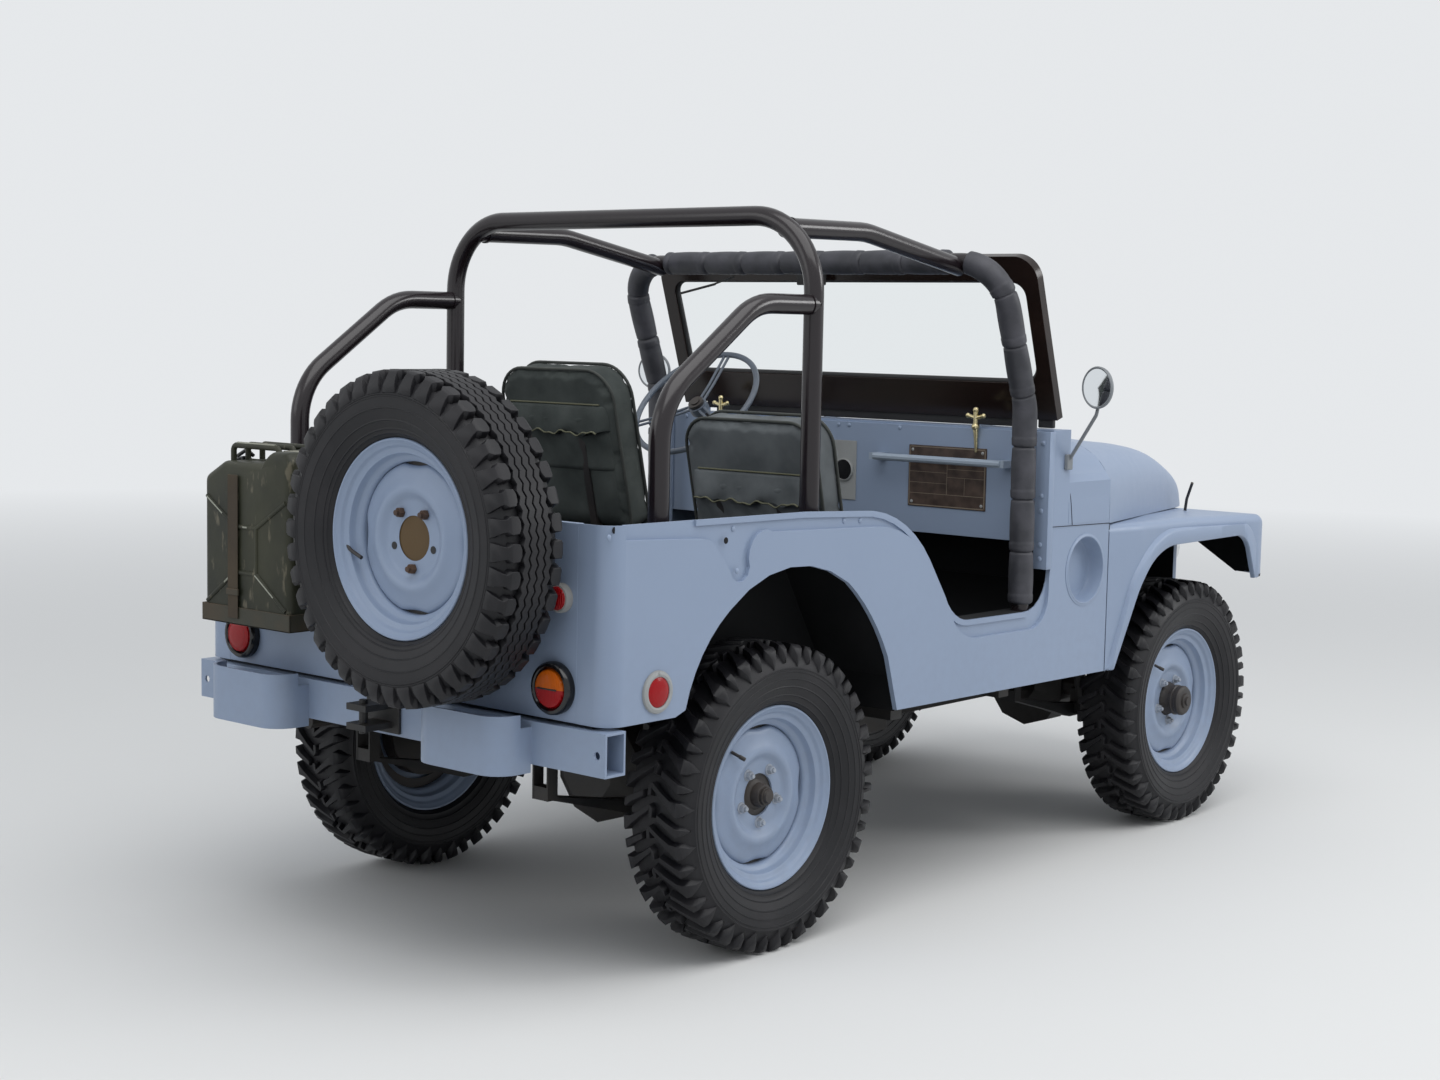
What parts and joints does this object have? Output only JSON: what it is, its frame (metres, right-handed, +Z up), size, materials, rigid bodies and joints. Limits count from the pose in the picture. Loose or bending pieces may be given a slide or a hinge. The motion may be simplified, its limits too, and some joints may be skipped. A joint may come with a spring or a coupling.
{
  "type": "army 4x4 car",
  "caption": "Open all-wheel-drive army car with roll cage, fold-down windshield, hinged hood, tail-mounted spare wheel and fuel can.",
  "frame": {"origin": "on the ground under the middle of the whole car", "axes": "+X forwards, +Y to the driver's left, +Z up"},
  "size_m": [3.655, 1.826, 1.848],
  "materials": {
    "body_paint": "satin blue-grey paint",
    "dark_paint": "semi-gloss near-black paint",
    "chassis_black": "dusty black paint",
    "running_iron": "oily bare iron",
    "tyre": "matt black rubber",
    "canvas": "grey-green canvas",
    "foam_sleeve": "matt grey sleeve",
    "olive_paint": "scuffed olive paint",
    "clear_glass": "clear",
    "red_lens": "ribbed red lens",
    "lamp_metal": "bright",
    "brass": "polished",
    "data_plate": "weathered brown"
  },
  "bodies": {
    "chassis": {"front_bumper": "body_paint", "rear_bumper": "body_paint", "body_tub": "body_paint", "side_panel_left": "body_paint", "side_panel_right": "body_paint", "rear_panel": "body_paint", "cowl": "body_paint", "dash_panel": "body_paint", "fender_left": "body_paint", "fender_right": "body_paint", "grille": "body_paint", "grab_handle": "body_paint", "can_tray": "body_paint", "steering_column": "body_paint", "fuel_tank": "body_paint", "spare_rim": "body_paint", "roll_cage": "dark_paint", "seat_frames": "dark_paint", "mirror_left": "dark_paint", "mirror_right": "dark_paint", "frame_rails": "chassis_black", "tow_jaw": "chassis_black", "springs": "chassis_black", "radiator": "chassis_black", "floor_controls": "chassis_black", "spare_carrier": "chassis_black", "engine": "running_iron", "gearbox": "running_iron", "axle_front": "running_iron", "axle_rear": "running_iron", "drive_shafts": "running_iron", "exhaust": "running_iron", "spare_tyre": "tyre", "driver_cushion": "canvas", "driver_back": "canvas", "passenger_cushion": "canvas", "passenger_back": "canvas", "cage_pads": "foam_sleeve", "jerrycan": "olive_paint", "rear_lamps": "red_lens", "headlamps": "lamp_metal", "windshield_clamps": "brass", "dash_plates": "data_plate"},
    "hood": {"hood": "body_paint"},
    "windshield": {"windshield_frame": "dark_paint", "windshield_glass": "clear_glass"},
    "steering_wheel": {"steering_wheel": "body_paint"},
    "knuckle_left": {"knuckle_left": "running_iron"},
    "knuckle_right": {"knuckle_right": "running_iron"},
    "tie_rod": {"tie_rod": "running_iron"},
    "wheel_front_left": {"rim_front_left": "body_paint", "tyre_front_left": "tyre"},
    "wheel_front_right": {"rim_front_right": "body_paint", "tyre_front_right": "tyre"},
    "wheel_rear_left": {"rim_rear_left": "body_paint", "tyre_rear_left": "tyre"},
    "wheel_rear_right": {"rim_rear_right": "body_paint", "tyre_rear_right": "tyre"}
  },
  "joints": [
    {"name": "steer_left", "type": "hinge", "parent": "chassis", "child": "knuckle_left", "pos_m": [1.1375, 0.528, 0.386], "axis": [0, 0, 1], "range_deg": [-27, 27]},
    {"name": "steer_right", "type": "hinge", "parent": "chassis", "child": "knuckle_right", "pos_m": [1.1375, -0.528, 0.386], "axis": [0, 0, 1], "range_deg": [-27, 27]},
    {"name": "tie_rod_swing", "type": "hinge", "parent": "knuckle_left", "child": "tie_rod", "pos_m": [1.2875, 0.528, 0.386], "axis": [0, 0, 1], "range_deg": [-27, 27]},
    {"name": "steering_turn", "type": "hinge", "parent": "chassis", "child": "steering_wheel", "pos_m": [-0.0575, 0.35, 1.314], "axis": [-0.7071, 0, 0.7071], "range_deg": [-378, 378]},
    {"name": "hood_lift", "type": "hinge", "parent": "chassis", "child": "hood", "pos_m": [0.5615, 0, 1.26], "axis": [0, -1, 0], "range_deg": [0, 75]},
    {"name": "windshield_fold", "type": "hinge", "parent": "chassis", "child": "windshield", "pos_m": [0.3205, 0, 1.293], "axis": [0, -1, 0], "range_deg": [-108, 0]},
    {"name": "wheel_front_left_roll", "type": "hinge", "parent": "knuckle_left", "child": "wheel_front_left", "pos_m": [1.1375, 0.6235, 0.386], "axis": [0, 1, 0], "continuous": true},
    {"name": "wheel_front_right_roll", "type": "hinge", "parent": "knuckle_right", "child": "wheel_front_right", "pos_m": [1.1375, -0.6235, 0.386], "axis": [0, 1, 0], "continuous": true},
    {"name": "wheel_rear_left_roll", "type": "hinge", "parent": "chassis", "child": "wheel_rear_left", "pos_m": [-0.9195, 0.6235, 0.386], "axis": [0, 1, 0], "continuous": true},
    {"name": "wheel_rear_right_roll", "type": "hinge", "parent": "chassis", "child": "wheel_rear_right", "pos_m": [-0.9195, -0.6235, 0.386], "axis": [0, 1, 0], "continuous": true}
  ],
  "couplings": [
    {"joint": "steer_right", "follows": "steer_left", "ratio": 1},
    {"joint": "tie_rod_swing", "follows": "steer_left", "ratio": -1},
    {"joint": "steering_turn", "follows": "steer_left", "ratio": 14}
  ]
}
